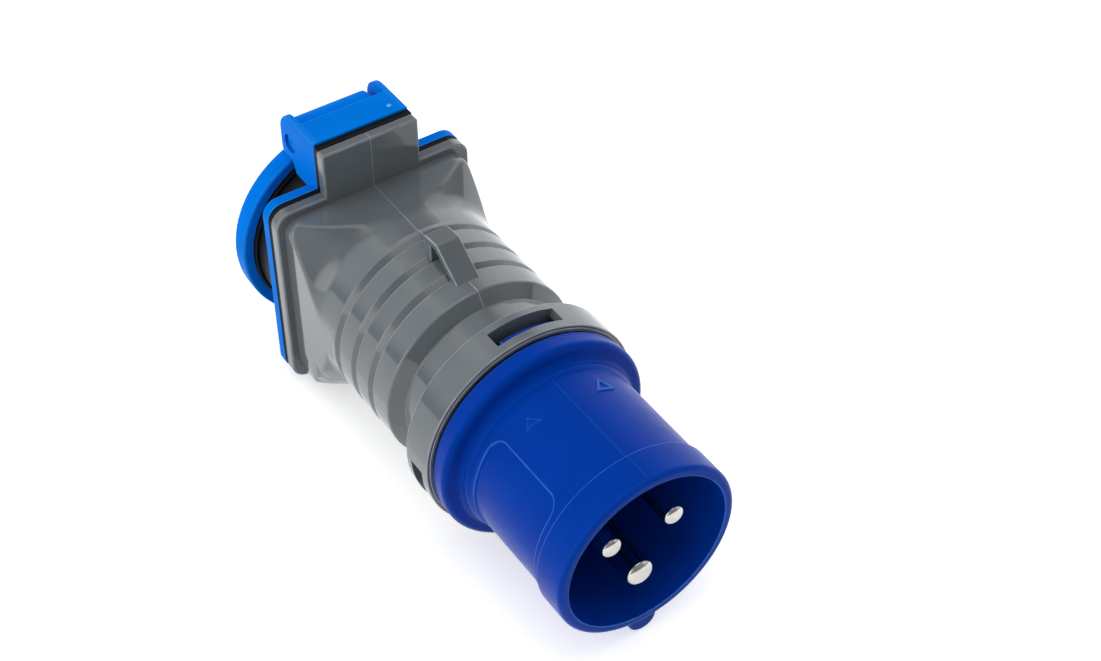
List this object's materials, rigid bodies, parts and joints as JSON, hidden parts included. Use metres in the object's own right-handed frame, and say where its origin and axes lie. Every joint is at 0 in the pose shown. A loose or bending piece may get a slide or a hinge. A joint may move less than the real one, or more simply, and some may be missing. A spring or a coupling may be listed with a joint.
{
  "type": "adapter plug",
  "caption": "Round industrial plug with contact pins and a domestic socket outlet under a sprung lid, joined by one moulded housing with a lanyard strap.",
  "frame": {"origin": "centre of the plug shroud's front rim, on the main axis", "axes": "+Y runs along the main axis from the contact pins to the socket lid, +Z points to the lid hinge, +X points right as seen from the plug end"},
  "size_m": [0.0538, 0.135, 0.0653],
  "materials": {
    "blue_front": "gloss, deep blue",
    "blue_rear": "gloss, azure",
    "grey_body": "gloss, mid grey",
    "black_seal": "satin black rubber",
    "nickel": "bright nickel on brass",
    "brass": "plain brass",
    "steel": "zinc plated steel",
    "black_insert": "fine matt black",
    "wire_brown": "brown insulation",
    "wire_blue": "blue insulation",
    "wire_green": "green and yellow insulation"
  },
  "bodies": {
    "plug_body": {"housing": "grey_body", "plug_sleeve": "blue_front", "pin_carrier": "blue_front", "pin_terminal_screws": "steel", "front_seal": "black_seal", "plate_gasket": "black_seal", "face_plate": "blue_rear", "plate_screws": "steel", "hinge_pin": "blue_rear", "lid_spring": "steel", "socket_insert": "black_insert", "line_contact": "brass", "neutral_contact": "brass", "earth_clip": "brass", "socket_rear_cap": "black_insert", "socket_terminal_screws": "steel", "line_pin": "nickel", "neutral_pin": "nickel", "earth_pin": "nickel", "line_wire": "wire_brown", "neutral_wire": "wire_blue", "earth_wire": "wire_green"},
    "lid_body": {"lid": "blue_rear", "lid_seal": "black_seal"}
  },
  "joints": [
    {"name": "lid_hinge", "type": "hinge", "parent": "plug_body", "child": "lid_body", "pos_m": [0, 0.1252, 0.0306], "axis": [1, 0, 0], "range_deg": [0, 110], "stiffness_Nm_per_rad": 0.01, "springref_deg": -57.3, "deforming": ["lid_spring"]}
  ]
}
